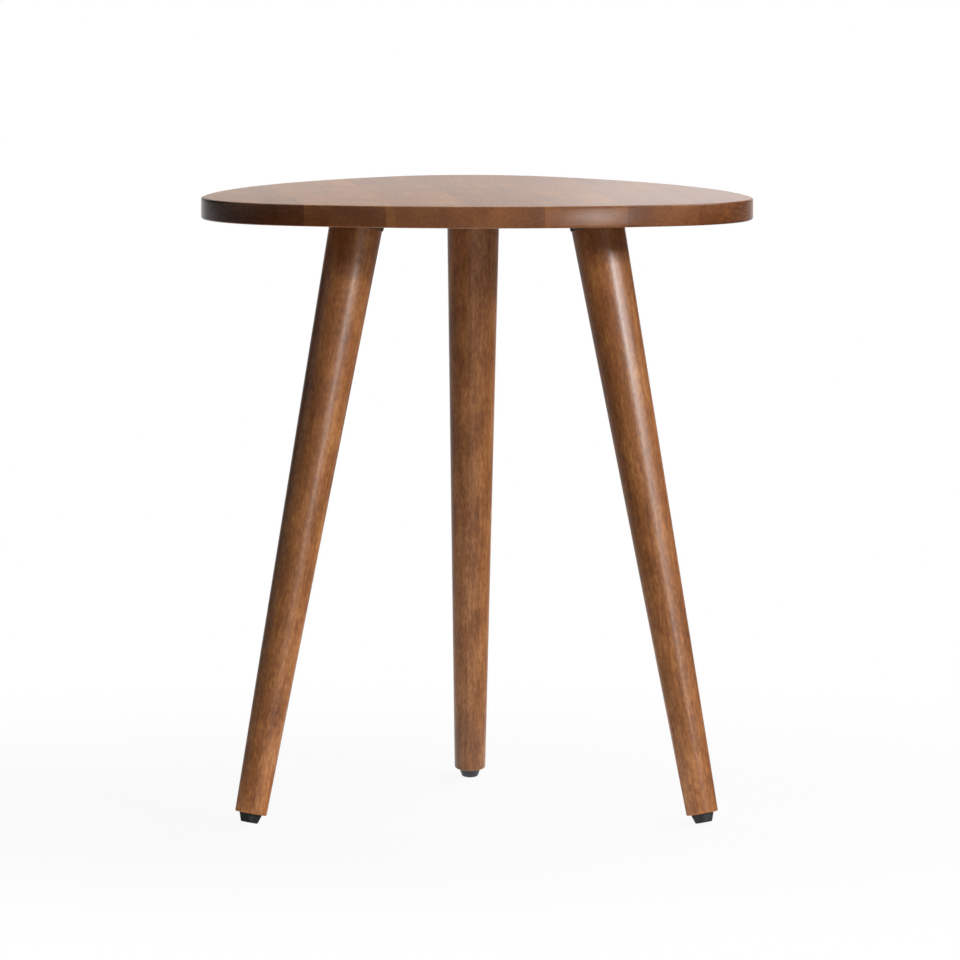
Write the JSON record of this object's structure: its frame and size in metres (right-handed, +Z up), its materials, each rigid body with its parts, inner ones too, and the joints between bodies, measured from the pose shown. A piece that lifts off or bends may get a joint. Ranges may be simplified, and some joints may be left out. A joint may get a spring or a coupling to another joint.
{
  "type": "tripod side table",
  "caption": "Wooden side table with a rounded triangular top of glued staves on three splayed, tapered legs that screw into angled plates, with levelling feet.",
  "frame": {"origin": "on the floor, under the middle of the tabletop's outline box", "axes": "+Z up, +Y towards the back leg and the top's back corner, +X to the right as seen from the front"},
  "size_m": [0.459, 0.451, 0.52],
  "materials": {
    "top_wood": "walnut-brown stain under a satin clear lacquer",
    "leg_wood": "walnut-brown stain under a satin clear lacquer",
    "plate_steel": "dark brown powder coat",
    "screw_steel": "zinc plated",
    "nut_steel": "zinc plated",
    "bolt_steel": "zinc plated",
    "insert_zinc": "cast zinc",
    "foot_plastic": "black moulded nylon"
  },
  "bodies": {
    "tabletop": {"top_stave_1": "top_wood", "top_stave_2": "top_wood", "top_stave_3": "top_wood", "top_stave_4": "top_wood", "top_stave_5": "top_wood", "top_stave_6": "top_wood", "top_stave_7": "top_wood", "leg_plate_back": "plate_steel", "leg_plate_left": "plate_steel", "leg_plate_right": "plate_steel", "plate_screws_back": "screw_steel", "plate_screws_left": "screw_steel", "plate_screws_right": "screw_steel", "plate_nut_back": "nut_steel", "plate_nut_left": "nut_steel", "plate_nut_right": "nut_steel"},
    "back_bolt": {"hanger_bolt_back": "bolt_steel"},
    "back_leg": {"leg_back": "leg_wood", "foot_insert_back": "insert_zinc"},
    "back_stem": {"foot_stem_back": "bolt_steel"},
    "back_foot": {"foot_pad_back": "foot_plastic"},
    "left_bolt": {"hanger_bolt_left": "bolt_steel"},
    "left_leg": {"leg_left": "leg_wood", "foot_insert_left": "insert_zinc"},
    "left_stem": {"foot_stem_left": "bolt_steel"},
    "left_foot": {"foot_pad_left": "foot_plastic"},
    "right_bolt": {"hanger_bolt_right": "bolt_steel"},
    "right_leg": {"leg_right": "leg_wood", "foot_insert_right": "insert_zinc"},
    "right_stem": {"foot_stem_right": "bolt_steel"},
    "right_foot": {"foot_pad_right": "foot_plastic"}
  },
  "joints": [
    {"name": "back_leg_travel", "type": "slide", "parent": "tabletop", "child": "back_bolt", "axis": [0, 0.2028, -0.9792], "range_m": [0, 0.0125]},
    {"name": "back_leg_turn", "type": "hinge", "parent": "back_bolt", "child": "back_leg", "pos_m": [0, 0.09178, 0.502], "axis": [0, 0.2028, -0.9792], "range_deg": [0, 3600]},
    {"name": "back_foot_travel", "type": "slide", "parent": "back_leg", "child": "back_stem", "axis": [0, 0.2028, -0.9792], "range_m": [0, 0.008]},
    {"name": "back_foot_turn", "type": "hinge", "parent": "back_stem", "child": "back_foot", "pos_m": [0, 0.09178, 0.502], "axis": [0, 0.2028, -0.9792], "range_deg": [0, 2880]},
    {"name": "left_leg_travel", "type": "slide", "parent": "tabletop", "child": "left_bolt", "axis": [-0.1756, -0.1014, -0.9792], "range_m": [0, 0.0125]},
    {"name": "left_leg_turn", "type": "hinge", "parent": "left_bolt", "child": "left_leg", "pos_m": [-0.09942, -0.08042, 0.502], "axis": [-0.1756, -0.1014, -0.9792], "range_deg": [0, 3600]},
    {"name": "left_foot_travel", "type": "slide", "parent": "left_leg", "child": "left_stem", "axis": [-0.1756, -0.1014, -0.9792], "range_m": [0, 0.008]},
    {"name": "left_foot_turn", "type": "hinge", "parent": "left_stem", "child": "left_foot", "pos_m": [-0.09942, -0.08042, 0.502], "axis": [-0.1756, -0.1014, -0.9792], "range_deg": [0, 2880]},
    {"name": "right_leg_travel", "type": "slide", "parent": "tabletop", "child": "right_bolt", "axis": [0.1756, -0.1014, -0.9792], "range_m": [0, 0.0125]},
    {"name": "right_leg_turn", "type": "hinge", "parent": "right_bolt", "child": "right_leg", "pos_m": [0.09942, -0.08042, 0.502], "axis": [0.1756, -0.1014, -0.9792], "range_deg": [0, 3600]},
    {"name": "right_foot_travel", "type": "slide", "parent": "right_leg", "child": "right_stem", "axis": [0.1756, -0.1014, -0.9792], "range_m": [0, 0.008]},
    {"name": "right_foot_turn", "type": "hinge", "parent": "right_stem", "child": "right_foot", "pos_m": [0.09942, -0.08042, 0.502], "axis": [0.1756, -0.1014, -0.9792], "range_deg": [0, 2880]}
  ],
  "couplings": [
    {"joint": "back_leg_turn", "follows": "back_leg_travel", "rad_per_m": 5026.5},
    {"joint": "back_foot_turn", "follows": "back_foot_travel", "rad_per_m": 6283.1},
    {"joint": "left_leg_turn", "follows": "left_leg_travel", "rad_per_m": 5026.5},
    {"joint": "left_foot_turn", "follows": "left_foot_travel", "rad_per_m": 6283.1},
    {"joint": "right_leg_turn", "follows": "right_leg_travel", "rad_per_m": 5026.5},
    {"joint": "right_foot_turn", "follows": "right_foot_travel", "rad_per_m": 6283.1}
  ]
}
